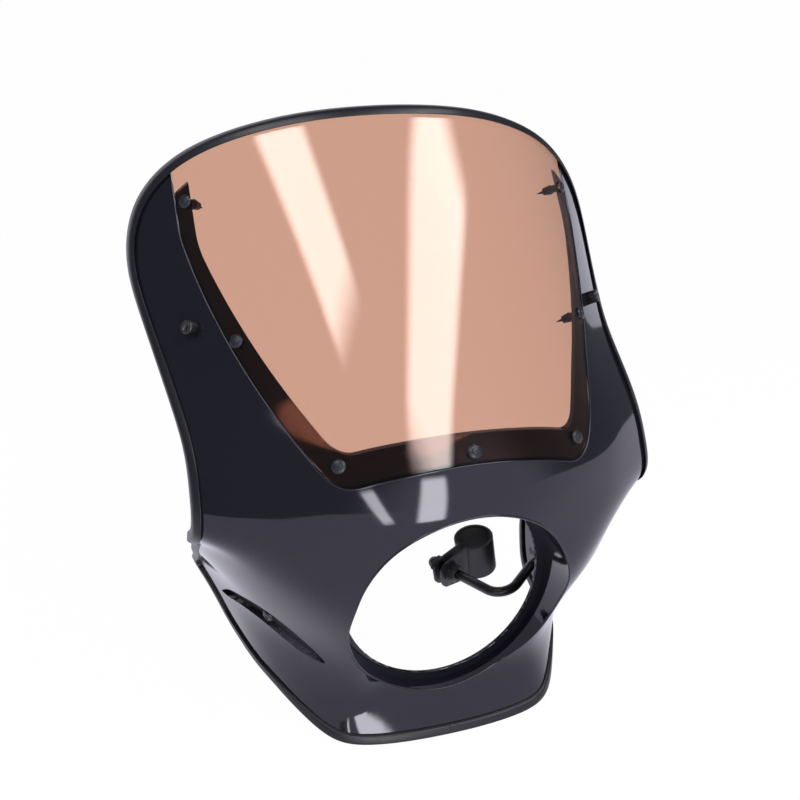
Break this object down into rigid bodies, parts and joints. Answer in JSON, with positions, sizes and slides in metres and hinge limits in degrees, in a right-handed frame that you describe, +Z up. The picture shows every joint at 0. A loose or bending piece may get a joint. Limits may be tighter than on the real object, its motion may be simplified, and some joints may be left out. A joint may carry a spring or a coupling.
{
  "type": "headlight cowl",
  "caption": "Glossy moulded cowl for a round headlight, with a raked tinted windscreen riveted into its visor, a rubber edge trim and bent-rod brackets with fork clamps.",
  "frame": {"origin": "centre of the round headlight opening, in the plane of the lip's rear face", "axes": "+Z up, +X to the viewer's right when seen from the front, the front faces -Y"},
  "size_m": [0.3814, 0.2473, 0.4356],
  "materials": {
    "gloss_black": "moulded, high gloss",
    "tinted_screen": "clear amber-brown tint, polished",
    "trim_rubber": "satin",
    "rivet_plastic": "satin, moulded",
    "soft_rubber": "matt",
    "black_steel": "satin black coating",
    "plated_steel": "plated"
  },
  "bodies": {
    "root": {"cowl_shell": "gloss_black", "windscreen": "tinted_screen", "edge_trim": "trim_rubber", "screen_rivet_bodies": "rivet_plastic", "screen_rivet_pins": "rivet_plastic", "side_screws": "black_steel", "side_screw_washers": "plated_steel", "side_screw_nuts": "plated_steel", "groove_bolts": "black_steel", "groove_bolt_washers": "black_steel", "groove_bolt_rubbers": "soft_rubber", "groove_bolt_nuts": "plated_steel", "fork_clamp_right": "black_steel", "fork_clamp_left": "black_steel", "clamp_liner_right": "soft_rubber", "clamp_liner_left": "soft_rubber", "bracket_rod_right": "black_steel", "bracket_rod_left": "black_steel", "clamp_washers": "black_steel", "clamp_hex_nuts": "black_steel", "clamp_dome_nuts": "black_steel"}
  },
  "joints": []
}
